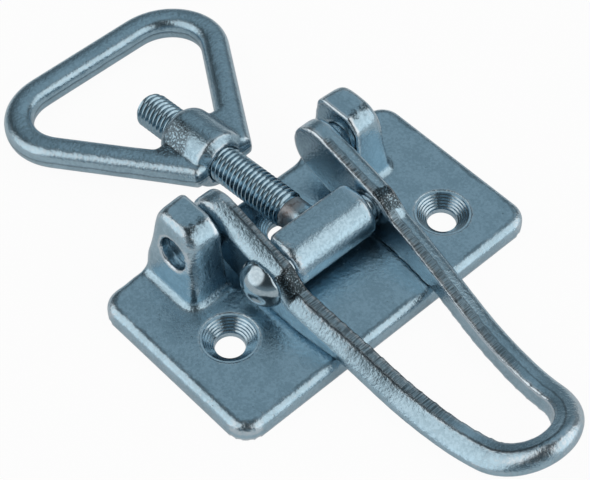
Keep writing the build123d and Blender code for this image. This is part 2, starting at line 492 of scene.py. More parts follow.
@dataclass(frozen=True)
class ZincFinish:
    """Bright, blue-tinted zinc plate over worked steel.

    A pair holds the value at which a mark is gone, then the one at which it is full.
    """

    name: str
    grain: Grain = Grain.FORGED
    tint: Rgb = (0.36, 0.505, 0.595)
    deep_tint: Rgb = (0.295, 0.425, 0.505)
    pit_and_hollow_shade_tint: Rgb = (0.03, 0.05, 0.06)
    worn_tint: Rgb = (0.74, 0.78, 0.81)
    roughness: float = 0.23
    pits: float = 0.55
    wear: float = 0.55
    cloud_size: float = 5.0 * MM
    leather_size: float = 0.8 * MM
    leather_tone: float = 1.3
    leather_height: float = 2.6
    leather_rough: float = 0.2
    grit_size: float = 0.28 * MM
    grit_height: float = 0.55
    deep_from: Pair = (0.95, 1.35)
    pit_specks: Specks = Specks(0.75 * MM, 0.30, 0.22, Detail.SOFT)
    pit_rough: float = 0.25
    bend_ragged: float = 0.5
    ridge_bend: Pair = (0.15, 0.45)
    keen_bend: Pair = (1.3, 0.8)
    # The hollow values paint shade into concave hollows, where creases and corners would be shaded; the pit
    # tint colours both the real pits and that painted shade.
    hollow_bend: Pair = (-0.2, -0.7)
    hollow_shade: float = 0.5

    def coat(self, graph: Graph) -> Coat:
        """Lay the zinc: its tone and grain, with worn ridges, dark pits and painted shade in the hollows.

        Args:
            graph: The material's builder.

        Returns:
            The coat, without the marks of the piece's own working.
        """
        reads = graph.node("ShaderNodeTexCoord").outputs
        spot, facing = reads["Object"], reads["Normal"]
        cloud = graph.noise(spot, self.cloud_size)
        leather = graph.noise(spot, self.leather_size, Detail.LEATHERY)
        grit = graph.noise(spot, self.grit_size, Detail.SOFT)
        tone = graph.step(graph.math("MULTIPLY_ADD", leather, self.leather_tone, cloud), *self.deep_from)
        colour = graph.mix(tone, (*self.tint, 1.0), (*self.deep_tint, 1.0))
        bend = graph.attribute(BEND)
        ragged = graph.ragged(bend, leather, self.bend_ragged)
        ridge = graph.product(
            graph.step(ragged, *self.ridge_bend), graph.step(bend, *self.keen_bend), self.wear)
        # Painted shade: concave hollows are darkened as if they were shaded.
        painted_hollow_shade = graph.product(graph.step(ragged, *self.hollow_bend), self.hollow_shade)
        pits = graph.math("MAXIMUM", graph.product(graph.specks(spot, self.pit_specks), self.pits), painted_hollow_shade)
        swell_height, grain_height = self.grain.value
        height = graph.product(cloud, swell_height)
        height = graph.math("MULTIPLY_ADD", leather, self.leather_height * grain_height, height)
        height = graph.math("MULTIPLY_ADD", grit, self.grit_height * grain_height, height)
        rough = graph.ragged(self.roughness, leather, self.leather_rough)
        rough = graph.math("MULTIPLY_ADD", pits, self.pit_rough, rough)
        made = Coat(graph, spot, facing, colour, rough, height)
        made.tint_over(ridge, self.worn_tint)
        # The real pits and the painted hollow shade get one dark tint.
        made.tint_over(pits, self.pit_and_hollow_shade_tint)
        return made

    def work(self, coat: Coat) -> None:
        """Add the marks of this piece's own working; a plain finish has none.

        Args:
            coat: The finish so far, which is changed.
        """

    def material(self) -> bpy.types.Material:
        """Build the finish.

        Returns:
            The node material.
        """
        made = bpy.data.materials.new(self.name)
        made.use_nodes = True
        graph = Graph(made.node_tree)
        coat = self.coat(graph)
        self.work(coat)
        bump = graph.wire("ShaderNodeBump", {"Strength": 1.0, "Distance": 1.0, "Height": coat.height})
        shader = graph.wire("ShaderNodeBsdfPrincipled", {
            "Metallic": 1.0, "Base Color": coat.colour, "Roughness": coat.rough, "Normal": bump})
        graph.feed(graph.node("ShaderNodeOutputMaterial").inputs["Surface"], shader)
        return made


@dataclass(frozen=True)
class PlateFinish(ZincFinish):
    """Zinc over the base, with a painted dark reflection along a line inside the plate's rim, and grime on
    the lugs' crowns.
    """

    plate: PlateForm = PlateForm()
    tatter_size: float = 1.1 * MM
    # The line values place a painted dark reflection: a ragged line inside the rim, on upward faces only.
    line_inset: float = 2.3 * MM
    line_ragged: float = 1.6 * MM
    line_edge: Pair = (0.7 * MM, 0.105 * MM)
    line_above: Pair = (0.8 * MM, 0.3 * MM)
    line_up: Pair = (0.6, 0.9)
    line_breaks: Specks = Specks(9.0 * MM, 0.36, 0.58, Detail.SOFT)
    dark_reflection_strength: float = 0.45
    dark_reflection_and_grime_tint: Rgb = (0.04, 0.065, 0.08)
    grime: tuple[tuple[Place, float], ...] = (
        ((-11.4 * MM, 33.4 * MM, 25.6 * MM), 2.7 * MM), ((-10.4 * MM, 33.6 * MM, 23.0 * MM), 2.7 * MM),
        ((-14.6 * MM, 25.6 * MM, 27.4 * MM), 1.9 * MM), ((-14.5 * MM, 29.0 * MM, 27.3 * MM), 2.1 * MM))
    grime_ragged: float = 4.0 * MM
    grime_core: float = 0.3
    grime_specks: Specks = Specks(0.4 * MM, 0.62, 0.46)
    speck_share: float = 0.55
    film_share: float = 0.3

    def work(self, coat: Coat) -> None:
        """Paint a ragged dark reflection line inside the rim, and darken grime patches on both lugs' crowns
        alike.

        Args:
            coat: The finish so far, which is changed.
        """
        graph, spot = coat.graph, coat.spot
        x, y, z = graph.split(spot)
        up = graph.split(coat.facing)[2]
        tatters = graph.noise(spot, self.tatter_size, Detail.TATTERED)
        # Painted dark reflection: a ragged line a little inside the rim, only on upward faces.
        inset = graph.ragged(self.plate.shaded_inset(graph, spot), tatters, self.line_ragged)
        away = graph.math("ABSOLUTE", graph.math("SUBTRACT", inset, self.line_inset))
        low = graph.step(z, *(self.plate.top + rise for rise in self.line_above))
        tint_over = graph.product(
            graph.step(away, *self.line_edge), low, graph.step(up, *self.line_up),
            graph.specks(spot, self.line_breaks), self.dark_reflection_strength)
        specks = graph.specks(spot, self.grime_specks)
        film = graph.math("MULTIPLY_ADD", specks, self.speck_share, self.film_share)
        folded = graph.point(X=x, Y=graph.math("ABSOLUTE", y), Z=z)
        for place, reach in self.grime:
            near = graph.ragged(graph.vectors("DISTANCE", folded, place), tatters, self.grime_ragged)
            patch = graph.product(graph.step(near, reach, self.grime_core * reach), film)
            tint_over = graph.math("MAXIMUM", tint_over, patch)
        coat.tint_over(tint_over, self.dark_reflection_and_grime_tint)


@dataclass(frozen=True)
class ShearedLeverFinish(ZincFinish):
    """Zinc over the lever, with the torn strip that its inner edge was sheared along."""

    tatter_size: float = 1.5 * MM
    strip_start: Pair = (-16.0 * MM, -13.0 * MM)
    strip_end: Pair = (64.0 * MM, 52.0 * MM)
    strip_edge: Pair = (0.0, -0.35 * MM)
    strip_up: Pair = (0.55, 0.8)
    strip_dark: float = 0.85
    strip_rough: float = 0.08
    strip_tint: Rgb = (0.055, 0.075, 0.088)
    start_ragged: float = 4.0 * MM
    edge_ragged: float = 0.9 * MM
    tears: Specks = Specks(0.30 * MM, 0.38, 0.62, Detail.SOFT)
    tear_stretch: Place = (1.0, 0.07, 0.3)
    tear_shine: float = 0.45
    tear_depth: float = 0.035 * MM
    lip_edge: Pair = (0.4 * MM, 0.1 * MM)
    lip_up: Pair = (0.4, 0.7)
    lip_dark: float = 0.55
    near_patch: float = 8.4 * MM
    far_patch: float = 6.0 * MM
    patch_edge: Pair = (3.2 * MM, 2.56 * MM)
    patch_ragged: float = 3.0 * MM
    patch_specks: Specks = Specks(0.35 * MM, 0.66, 0.52)
    patch_up: Pair = (0.45, 0.7)
    patch_dark: float = 0.9
    patch_tint: Rgb = (0.018, 0.026, 0.03)

    def work(self, coat: Coat) -> None:
        """Darken and tear a strip along the upper inner edge, and darken a patch at each cheek's end.

        Args:
            coat: The finish so far, which is changed.
        """
        graph, spot = coat.graph, coat.spot
        along, side, _ = graph.split(spot)
        up = graph.split(coat.facing)[2]
        tatters = graph.noise(spot, self.tatter_size, Detail.TATTERED)
        torn = graph.ragged(graph.attribute(PAST_STRIP), tatters, self.edge_ragged)
        begun = graph.step(graph.ragged(along, tatters, self.start_ragged), *self.strip_start)
        strip = graph.product(
            graph.step(torn, *self.strip_edge), begun, graph.step(up, *self.strip_up),
            graph.step(along, *self.strip_end))
        tear = graph.specks(graph.stretched(spot, self.tear_stretch), self.tears)
        dark = graph.product(strip, graph.math("MULTIPLY_ADD", tear, -self.tear_shine, self.strip_dark))
        lip = graph.step(graph.math("ABSOLUTE", torn), *self.lip_edge)
        lip = graph.product(lip, begun, graph.step(up, *self.lip_up), self.lip_dark)
        half_gap = 0.5 * (self.far_patch - self.near_patch)
        centre = graph.math("MULTIPLY_ADD", graph.math("SIGN", side), half_gap, self.near_patch + half_gap)
        away = graph.math("ABSOLUTE", graph.math("SUBTRACT", along, centre))
        patch = graph.step(graph.ragged(away, tatters, self.patch_ragged), *self.patch_edge)
        patch = graph.product(
            patch, graph.specks(spot, self.patch_specks), graph.step(up, *self.patch_up), self.patch_dark)
        coat.tint_over(graph.math("MAXIMUM", dark, lip), self.strip_tint)
        coat.tint_over(patch, self.patch_tint)
        coat.rough = graph.math("MULTIPLY_ADD", strip, self.strip_rough, coat.rough)
        coat.height = graph.math("ADD", coat.height, graph.product(tear, strip, self.tear_depth))


@dataclass(frozen=True)
class PartedEyeFinish(ZincFinish):
    """Zinc over the eye, with the seam that its two forging dies left and scale on its boss."""

    rod_turn: float = 0.0
    rod_origin: Place = (0.0, 0.0, 0.0)
    seam_edge: Pair = (0.45 * MM, 0.0)
    seam_height: float = 0.10 * MM
    seam_dark: float = 0.5
    seam_tint: Rgb = (0.08, 0.125, 0.15)
    wander_size: float = 6.0 * MM
    wander: float = 0.8 * MM
    scale_spot: Place = (-48.0 * MM, -6.5 * MM, 14.0 * MM)
    scale_edge: Pair = (6.5 * MM, 3.5 * MM)
    scale_size: float = 3.0 * MM
    scale_ragged: float = 6.0 * MM
    scale_specks: Specks = Specks(0.5 * MM, 0.64, 0.50)
    scale_dark: float = 0.8
    scale_tint: Rgb = (0.05, 0.065, 0.075)

    def work(self, coat: Coat) -> None:
        """Raise a thin seam around the eye's middle plane, and speckle the boss with scale.

        Args:
            coat: The finish so far, which is changed.
        """
        graph, spot = coat.graph, coat.spot
        from_trunnion = graph.vectors("SUBTRACT", spot, self.rod_origin)
        level = graph.split(graph.stretched(from_trunnion, (1.0, 1.0, 1.0), self.rod_turn))[2]
        wander = graph.noise(spot, self.wander_size, Detail.SOFT)
        seam = graph.step(graph.math("ABSOLUTE", graph.ragged(level, wander, self.wander)), *self.seam_edge)
        coat.tint_over(graph.product(seam, self.seam_dark), self.seam_tint)
        coat.height = graph.math("MULTIPLY_ADD", seam, self.seam_height, coat.height)
        away = graph.vectors("DISTANCE", spot, self.scale_spot)
        away = graph.ragged(away, graph.noise(spot, self.scale_size), self.scale_ragged)
        specks = graph.specks(spot, self.scale_specks)
        scale = graph.product(graph.step(away, *self.scale_edge), specks, self.scale_dark)
        coat.tint_over(scale, self.scale_tint)


@dataclass(frozen=True)
class StainedNeckFinish(ZincFinish):
    """Zinc over the T-bolt, dull and brownish round its neck."""

    neck_spot: Place = (0.0, 0.0, 0.0)
    neck_edge: Pair = (5.6 * MM, 4.2 * MM)
    neck_ragged: float = 2.0 * MM
    neck_rough: float = 0.25
    neck_tint: Rgb = (0.33, 0.33, 0.34)
    blotch_size: float = 1.6 * MM
    rust_from: Pair = (0.5, 0.62)
    rust_tint: Rgb = (0.17, 0.125, 0.11)

    def work(self, coat: Coat) -> None:
        """Dull the zinc round the neck and blotch it.

        Args:
            coat: The finish so far, which is changed.
        """
        graph, spot = coat.graph, coat.spot
        blotch = graph.noise(spot, self.blotch_size, Detail.TATTERED)
        away = graph.ragged(graph.vectors("DISTANCE", spot, self.neck_spot), blotch, self.neck_ragged)
        bare = graph.step(away, *self.neck_edge)
        coat.tint_over(bare, self.neck_tint)
        coat.tint_over(graph.product(bare, graph.step(blotch, *self.rust_from)), self.rust_tint)
        coat.rough = graph.math("MULTIPLY_ADD", bare, self.neck_rough, coat.rough)


@dataclass
class Piece:
    """One shown piece that rides on a body."""

    name: str
    body: str
    slot: str
    finish: ZincFinish

    def show(self, mesh: bpy.types.Mesh, *stands_for: str) -> bpy.types.Object:
        """Put a finished mesh into the scene.

        Args:
            mesh: The mesh, in the part's frame.
            stands_for: CAD nodes that the piece is shown in place of.

        Returns:
            The new object.
        """
        mesh.name = self.name
        if not mesh.materials:
            mesh.materials.append(self.finish.material())
        made = placed(self.name, mesh)
        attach(made, self.body)
        if stands_for:
            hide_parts(*stands_for)
        LOG.info("%s: %d faces", self.name, len(mesh.polygons))
        return made


@dataclass
class SolidSkin(Piece):
    """A closed skin of one CAD node, evenly divided and rounded over as forging is."""

    node: str = ""
    voxel: float = 0.45 * MM
    rounding: int = 3
    bend_spread: int = 5
    weld: float = 1e-6
    bend_scale: float = 4.0 * MM

    def welded(self) -> bmesh.types.BMesh:
        """Copy the node's loose triangles and join them.

        Returns:
            The welded mesh, to be freed by the caller.
        """
        source = bmesh.new()
        source.from_mesh(frame["nodes"][self.node].data)
        bmesh.ops.remove_doubles(source, verts=source.verts, dist=self.weld)
        bmesh.ops.dissolve_degenerate(source, edges=source.edges, dist=self.weld)
        return source

    def softness(self, spots: np.ndarray) -> np.ndarray:
        """Say how much each point is rounded over, from 0 to 1.

        Args:
            spots: Points in metres, one row each.

        Returns:
            A weight for each point.
        """
        return np.ones(len(spots))

    def shaped(self, spots: np.ndarray) -> np.ndarray:
        """Move points to this piece's worked form; a plain skin keeps them.

        Args:
            spots: Points in metres, one row each.

        Returns:
            The moved points.
        """
        return spots

    def rounded(self, source: bmesh.types.BMesh) -> bpy.types.Mesh:
        """Turn a welded mesh into an evenly divided one and round its edges over.

        Args:
            source: The welded mesh, which is freed.

        Returns:
            The smoothly shaded mesh, inside the node's box.
        """
        bare = bpy.data.meshes.new(self.name + "_bare")
        source.to_mesh(bare)
        source.free()
        evened = worked_in(bare, "REMESH", mode="VOXEL", voxel_size=self.voxel)
        self.round_over(evened)
        evened.materials.clear()
        evened.shade_smooth()
        return evened

    def round_over(self, mesh: bpy.types.Mesh) -> None:
        """Shape the points, round them over inside the node's box and store how they bend.

        Args:
            mesh: The mesh to change.
        """
        count = len(mesh.vertices)
        spots = np.empty(count * 3)
        mesh.vertices.foreach_get("co", spots)
        spots = self.shaped(spots.reshape(-1, 3))
        pairs = np.empty(len(mesh.edges) * 2, dtype=np.int64)
        mesh.edges.foreach_get("vertices", pairs)
        one, two = pairs[0::2], pairs[1::2]
        links = np.maximum(np.bincount(pairs, minlength=count), 1)

        def mean(values: np.ndarray) -> np.ndarray:
            """Give each point the mean of its neighbours' values."""
            return (np.bincount(one, values[two], count) + np.bincount(two, values[one], count)) / links

        share = 0.5 * self.softness(spots)[:, None]
        for _ in range(self.rounding):
            spots = spots + share * (np.stack([mean(spots[:, k]) for k in range(3)], axis=1) - spots)
        low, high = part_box(self.node)
        spots = np.clip(spots, np.array(low), np.array(high))
        mesh.vertices.foreach_set("co", spots.ravel())
        mesh.update()
        normals = np.empty(count * 3)
        mesh.vertex_normals.foreach_get("vector", normals)
        sink = spots - np.stack([mean(spots[:, k]) for k in range(3)], axis=1)
        bend = self.bend_scale * np.einsum("ij,ij->i", sink, normals.reshape(-1, 3)) / self.voxel ** 2
        for _ in range(self.bend_spread):
            bend = 0.5 * (bend + mean(bend))
        mesh.attributes.new(BEND, "FLOAT", "POINT").data.foreach_set("value", bend)
        self.mark(mesh, spots)

    def mark(self, mesh: bpy.types.Mesh, spots: np.ndarray) -> None:
        """Store what else the finish reads; a plain skin stores nothing.

        Args:
            mesh: The finished mesh.
            spots: Its points in metres.
        """

    def build(self) -> bpy.types.Object:
        """Show the skin in place of its node."""
        return self.show(self.rounded(self.welded()), self.node)


@dataclass
class BaseSkin(SolidSkin):
    """The base: softest on its lugs' crowns, round at its rim, crisp at its bores and underside."""

    rounding: int = 80
    plate: PlateForm = PlateForm()
    rim_radius: float = 2.7 * MM
    above_rim: float = 0.2 * MM
    lug_back: float = -9.0 * MM
    lug_middle: float = 28.8 * MM
    lug_keep: float = 9.5 * MM
    foot_fade: float = 3.0 * MM
    crown_from: float = 11.0 * MM
    crown_to: float = 17.0 * MM
    lift_from: float = 22.8 * MM
    crown_lift: float = 0.09
    plain_soft: float = 0.02
    underside: float = 0.5 * MM
    milled_face: float = 23.0 * MM
    milled_fade: float = 3.2 * MM
    bore_keep: float = 6.0 * MM
    bore_fade: float = 2.0 * MM

    def shaped(self, spots: np.ndarray) -> np.ndarray:
        """Roll the plate's upper rim over, away from the lugs' feet, and raise the lugs' crowns.

        Args:
            spots: Points in metres, one row each.

        Returns:
            The moved points.
        """
        x, y, z = spots.T
        inset, outward = self.plate.insets(spots)
        across = self.rim_radius - inset
        above = z - (self.plate.top - self.rim_radius)
        away = np.maximum(np.hypot(across, above), TINY)
        past_back = ramp(x, self.lug_back, self.lug_back + self.foot_fade)
        past_side = ramp(np.abs(np.abs(y) - self.lug_middle), self.lug_keep, self.lug_keep + self.foot_fade)
        rolled = (across > 0) & (above > 0) & (away > self.rim_radius)
        rolled &= z < self.plate.top + self.above_rim
        free = np.maximum(past_back, past_side)
        shrink = np.where(rolled, free * (1 - self.rim_radius / away), 0.0)
        moved = spots.copy()
        moved[:, :2] -= outward * (across * shrink)[:, None]
        moved[:, 2] -= above * shrink
        moved[:, 2] += self.crown_lift * np.maximum(z - self.lift_from, 0.0)
        return moved

    def softness(self, spots: np.ndarray) -> np.ndarray:
        """Round the crowns fully, except at the bores and milled faces, and the rest a little.

        Args:
            spots: Points in metres, one row each.

        Returns:
            A weight for each point.
        """
        pivot = joint_of("lever_swing")["pos_m"]
        x, y, z = spots.T
        crown = ramp(z, self.crown_from, self.crown_to)
        away = np.hypot(x - pivot[0], z - pivot[2])
        crown *= ramp(away, self.bore_keep, self.bore_keep + self.bore_fade)
        crown *= ramp(np.abs(y), self.milled_face, self.milled_face + self.milled_fade)
        return np.maximum(self.plain_soft * (z > self.underside), crown)


@dataclass
class LeverSkin(SolidSkin):
    """The lever: a sheared strip along its inner edge, and a broad bevel outside it.

    A pair of strips or slopes has the value on the cheek first, then the one on the leg. The near side
    is the one where Y is negative.
    """

    loop_at: float = 67.5 * MM
    loop_inner: float = 8.45 * MM
    loop_radius: float = 12.0 * MM
    cheek_inner: float = 14.5 * MM
    near_strip: Pair = (2.0 * MM, 3.1 * MM)
    far_strip: Pair = (2.2 * MM, 2.7 * MM)
    near_slope: Pair = (0.42, 0.58)
    far_slope: Pair = (0.12, 0.22)
    leg_from: float = 0.0
    leg_to: float = 10.0 * MM
    side_blend: float = 8.0 * MM
    bevel_reach: float = 5.2 * MM
    bevel_width: float = 4.5 * MM
    front_from: float = -16.0 * MM
    front_to: float = -22.0 * MM
    bin_size: float = 0.5 * MM
    even_slices: int = 5

    def runs(self, spots: np.ndarray) -> tuple[np.ndarray, np.ndarray]:
        """Measure each point along the lever and outwards from its inner edge.

        Args:
            spots: Points in metres, one row each.

        Returns:
            The number of each point's slice along the lever, and its depth in metres.
        """
        x, y = spots[:, 0], np.abs(spots[:, 1])
        past = x - self.loop_at
        along = np.where(past > 0, self.loop_at + self.loop_radius * np.arctan2(past, y), x)
        slices = ((along - along.min()) / self.bin_size).astype(np.int64)
        from_middle = np.where(past > 0, np.hypot(past, y), y)
        inner = np.full(slices.max() + 1, np.inf)
        np.minimum.at(inner, slices, from_middle)
        inner = self.evened(np.clip(inner, self.loop_inner, self.cheek_inner))
        return slices, from_middle - inner[slices]

    def evened(self, values: np.ndarray) -> np.ndarray:
        """Give each slice the mean of the slices around it.

        Args:
            values: One value for each slice.

        Returns:
            The evened values.
        """
        reach = self.even_slices
        padded = np.pad(values, reach, mode="edge")
        return np.convolve(padded, np.full(2 * reach + 1, 1.0 / (2 * reach + 1)), mode="valid")

    def along_lever(self, spots: np.ndarray, near: Pair, far: Pair) -> np.ndarray:
        """Pass from the cheeks to the legs, and round the loop from the near side to the far one.

        Args:
            spots: Points in metres, one row each.
            near: The values on the near cheek and leg.
            far: The values on the far cheek and leg.

        Returns:
            The value at each point.
        """
        ends = (self.leg_from, self.leg_to)
        near_value, far_value = (np.interp(spots[:, 0], ends, values) for values in (near, far))
        return near_value + (far_value - near_value) * ramp(spots[:, 1], -self.side_blend, self.side_blend)

    def past_strip(self, spots: np.ndarray, depth: np.ndarray) -> np.ndarray:
        """Give how far each point lies past the strip, from its depth."""
        return depth - self.along_lever(spots, self.near_strip, self.far_strip)

    def shaped(self, spots: np.ndarray) -> np.ndarray:
        """Lower the upper edge outside the strip.

        Args:
            spots: Points in metres, one row each.

        Returns:
            The moved points.
        """
        slices, depth = self.runs(spots)
        past = self.past_strip(spots, depth)
        top = np.full(slices.max() + 1, -np.inf)
        in_strip = (depth > 0) & (past < 0)
        np.maximum.at(top, slices[in_strip], spots[in_strip, 2])
        known = np.isfinite(top)
        top = np.interp(np.arange(len(top)), np.flatnonzero(known), top[known])
        below = self.evened(top)[slices] - spots[:, 2]
        share = ramp(below, self.bevel_reach, 0.0) * ramp(spots[:, 0], self.front_to, self.front_from)
        slope = self.along_lever(spots, self.near_slope, self.far_slope)
        moved = spots.copy()
        moved[:, 2] -= share * slope * np.clip(past, 0, self.bevel_width)
        return moved

    def mark(self, mesh: bpy.types.Mesh, spots: np.ndarray) -> None:
        """Store how far each point is past the strip along the lever's inner edge.

        Args:
            mesh: The finished mesh.
            spots: Its points in metres.
        """
        past = self.past_strip(spots, self.runs(spots)[1])
        mesh.attributes.new(PAST_STRIP, "FLOAT", "POINT").data.foreach_set("value", past)


@dataclass
class EyeSkin(SolidSkin):
    """The eye: round bars, and a boss that keeps its edges."""

    rounding: int = 24
    boss_half: float = 9.0 * MM
    boss_soft: float = 0.2
    fade: float = 5.0 * MM
    far_bar: float = 14.0 * MM

    def softness(self, spots: np.ndarray) -> np.ndarray:
        """Round the bars fully and the boss a little.

        Args:
            spots: Points in metres, one row each.

        Returns:
            A weight for each point.
        """
        bar = ramp(np.abs(spots[:, 1]), self.boss_half, self.boss_half + self.fade)
        far_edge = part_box(self.node)[0][0] + self.far_bar
        far_bar = ramp(spots[:, 0], far_edge, far_edge - self.fade)
        return self.boss_soft + (1 - self.boss_soft) * np.maximum(bar, far_bar)


@dataclass
class RivetSkin(SolidSkin):
    """The rivet: one domed head, and a far end that is peened low."""

    cheek_outer: float = 21.0 * MM
    peened_radius: float = 4.3 * MM
    head_radius: float = 6.75 * MM
    peened_share: float = 0.05
    draw_in: float = 0.4 * MM

    def shaped(self, spots: np.ndarray) -> np.ndarray:
        """Draw the far head in to a low, peened end.

        Args:
            spots: Points in metres, one row each.

        Returns:
            The moved points.
        """
        centre = np.array(joint_of("t_bolt_swing")["pos_m"])
        far = ramp(spots[:, 1], self.cheek_outer - self.draw_in, self.cheek_outer)
        squeeze = 1 - far * (1 - self.peened_radius / self.head_radius)
        moved = spots.copy()
        moved[:, 0] = centre[0] + (spots[:, 0] - centre[0]) * squeeze
        moved[:, 2] = centre[2] + (spots[:, 2] - centre[2]) * squeeze
        past = np.maximum(spots[:, 1] - self.cheek_outer, 0.0)
        moved[:, 1] = spots[:, 1] - past * (1 - self.peened_share)
        return moved


@dataclass
class TurnedSeats(Piece):
    """The screw holes' countersinks, with the grooves that the turning tool left."""

    plate: PlateForm = PlateForm()
    places: tuple[Pair, ...] = ((3.5 * MM, -33.3 * MM), (11.3 * MM, 33.3 * MM), (-13.7 * MM, 0.0))
    hole_radius: float = 4.0 * MM
    seat_radius: float = 7.5 * MM
    lift: float = 0.14 * MM
    groove_depth: float = 0.15 * MM
    rim_inset: float = 0.12 * MM
    sleeve: float = 1.48 * MM
    back: float = 0.3 * MM
    grooves: int = 6
    sides: int = 72
    crease: float = math.radians(20.0)

    def build(self) -> bpy.types.Object:
        """Turn one grooved cone and set it into each screw hole.

        Returns:
            The seats' object.
        """
        graph = GeoGraph("turned_seat")
        sides = graph.number("Sides", self.sides)
        inner = graph.number("Hole Radius", self.hole_radius)
        width = graph.number("Seat Width", self.seat_radius - self.hole_radius - self.rim_inset)
        depth = graph.number("Groove Depth", self.groove_depth)
        lift = graph.number("Lift", self.lift)
        rows = graph.number("Rows", 2 * self.grooves + 1)
        across = graph.point(X=width, Y=graph.product(width, -1.0))
        line = graph.wire("GeometryNodeCurvePrimitiveLine", {"Start": (0.0, 0.0, 0.0), "End": across})
        line = graph.wire("GeometryNodeResampleCurve", {"Curve": line, "Count": rows})
        order = graph.wire("GeometryNodeInputIndex", {})
        ridge = graph.math("ADD", graph.product(graph.math("MODULO", order, 2.0), depth), lift)
        before_rim = graph.math("LESS_THAN", order, graph.math("SUBTRACT", rows, 1.0))
        out_of_cone = graph.product(ridge, before_rim, -math.sqrt(0.5))
        shift = graph.point(X=out_of_cone, Y=out_of_cone)
        line = graph.wire("GeometryNodeSetPosition", {"Geometry": line, "Offset": shift})
        wall = graph.product(lift, -1.0)
        foot = graph.point(X=wall, Y=graph.number("Sleeve", self.sleeve))
        sleeve = graph.wire("GeometryNodeCurvePrimitiveLine", {"Start": foot, "End": graph.point(X=wall)})
        outline = graph.joined(line, sleeve)
        lathe = graph.wire("GeometryNodeCurvePrimitiveCircle", {"Resolution": sides, "Radius": inner})
        lathe = graph.wire("GeometryNodeSetCurveNormal", {"Curve": lathe}, mode="Z_UP")
        seat = graph.wire("GeometryNodeCurveToMesh", {"Curve": lathe, "Profile Curve": outline})
        seats = graph.wire("GeometryNodeInstanceOnPoints", {
            "Points": graph.entry.outputs["Geometry"], "Instance": seat})
        hole_top = self.plate.top - (self.seat_radius - self.hole_radius)
        points = [Vector((x, y, hole_top)) for x, y in self.places]
        sheet = graph.mesh(seats, self.finish.material(), points)
        made = worked_in(sheet, "SOLIDIFY", thickness=self.back, offset=-1.0)
        made.shade_smooth()
        made.set_sharp_from_angle(angle=self.crease)
        return self.show(made)


@dataclass
class Rod:
    """The T-bolt's screwed rod, in line with the eye's travel."""

    origin: Vector
    heading: Vector
    neck_at: float = 10.8 * MM
    thread_from: float = 12.5 * MM
    reach: float = 69.0 * MM
    crest: float = 4.97 * MM
    root: float = 4.12 * MM
    pitch: float = 1.5 * MM
    foot_share: float = 0.92
    crest_share: float = 0.30
    bury: float = 0.15 * MM
    run_out: float = 0.9
    facets: int = 56
    crease: float = math.radians(75.0)

    @classmethod
    def of_frame(cls) -> "Rod":
        """Take the rod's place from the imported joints."""
        trunnion, travel = joint_of("t_bolt_swing")["pos_m"], joint_of("eye_adjust")["axis"]
        return cls(Vector(trunnion), Vector(travel).normalized())

    def spot(self, distance: float) -> Vector:
        """Give the place on the rod's axis at a distance from the trunnion."""
        return self.origin + self.heading * distance

    def tilt(self) -> float:
        """Give the rod's turn about Y from level, in radians."""
        return math.atan2(-self.heading.z, -self.heading.x)

    def place(self) -> Matrix:
        """Give the matrix from the rod's own axes, with Z along it, to the part's frame."""
        across = Vector((0.0, 1.0, 0.0))
        turn = Matrix((across.cross(self.heading), across, self.heading)).transposed().to_4x4()
        return Matrix.Translation(self.spot(self.thread_from)) @ turn

    def mesh(self, material: bpy.types.Material) -> bpy.types.Mesh:
        """Wind a ridge along a helix round a plain core.

        Args:
            material: What the rod is made of.

        Returns:
            The mesh of the screwed length.
        """
        graph = GeoGraph("rod_thread")
        length = graph.number("Length", self.reach - self.thread_from)
        pitch = graph.number("Pitch", self.pitch)
        root = graph.number("Root Radius", self.root)
        ridge = graph.number("Ridge Height", self.crest - self.root)
        facets = graph.number("Facets", self.facets)
        turns = graph.math("DIVIDE", length, pitch)
        helix = graph.wire("GeometryNodeCurveSpiral", {
            "Resolution": facets, "Rotations": turns, "Start Radius": root, "End Radius": root,
            "Height": length, "Reverse": True})
        helix = graph.wire("GeometryNodeSetCurveNormal", {"Curve": helix}, mode="Z_UP")
        tooth = graph.wire("GeometryNodeCurvePrimitiveQuadrilateral", {
            "Height": graph.math("ADD", ridge, self.bury), "Offset": 0.0,
            "Bottom Width": graph.product(pitch, self.foot_share),
            "Top Width": graph.product(pitch, self.crest_share)}, mode="TRAPEZOID")
        outwards = graph.product(graph.math("SUBTRACT", ridge, self.bury), 0.5)
        tooth = graph.wire("GeometryNodeTransform", {
            "Geometry": tooth, "Rotation": (0.0, 0.0, -math.pi / 2), "Translation": graph.point(X=outwards)})
        factor = graph.node("GeometryNodeSplineParameter").outputs["Factor"]
        to_end = graph.math("MINIMUM", factor, graph.math("SUBTRACT", 1.0, factor))
        fade = graph.math("MINIMUM", graph.math("DIVIDE", graph.product(to_end, turns), self.run_out), 1.0)
        wound = graph.wire("GeometryNodeCurveToMesh", {
            "Curve": helix, "Profile Curve": tooth, "Scale": fade, "Fill Caps": True})
        core = graph.wire("GeometryNodeMeshCylinder", {"Vertices": facets, "Radius": root, "Depth": length})
        core = graph.wire("GeometryNodeTransform", {
            "Geometry": core, "Translation": graph.point(Z=graph.product(length, 0.5))})
        made = graph.mesh(graph.joined(wound, core), material, [])
        made.transform(self.place())
        made.shade_smooth()
        made.set_sharp_from_angle(angle=self.crease)
        return made


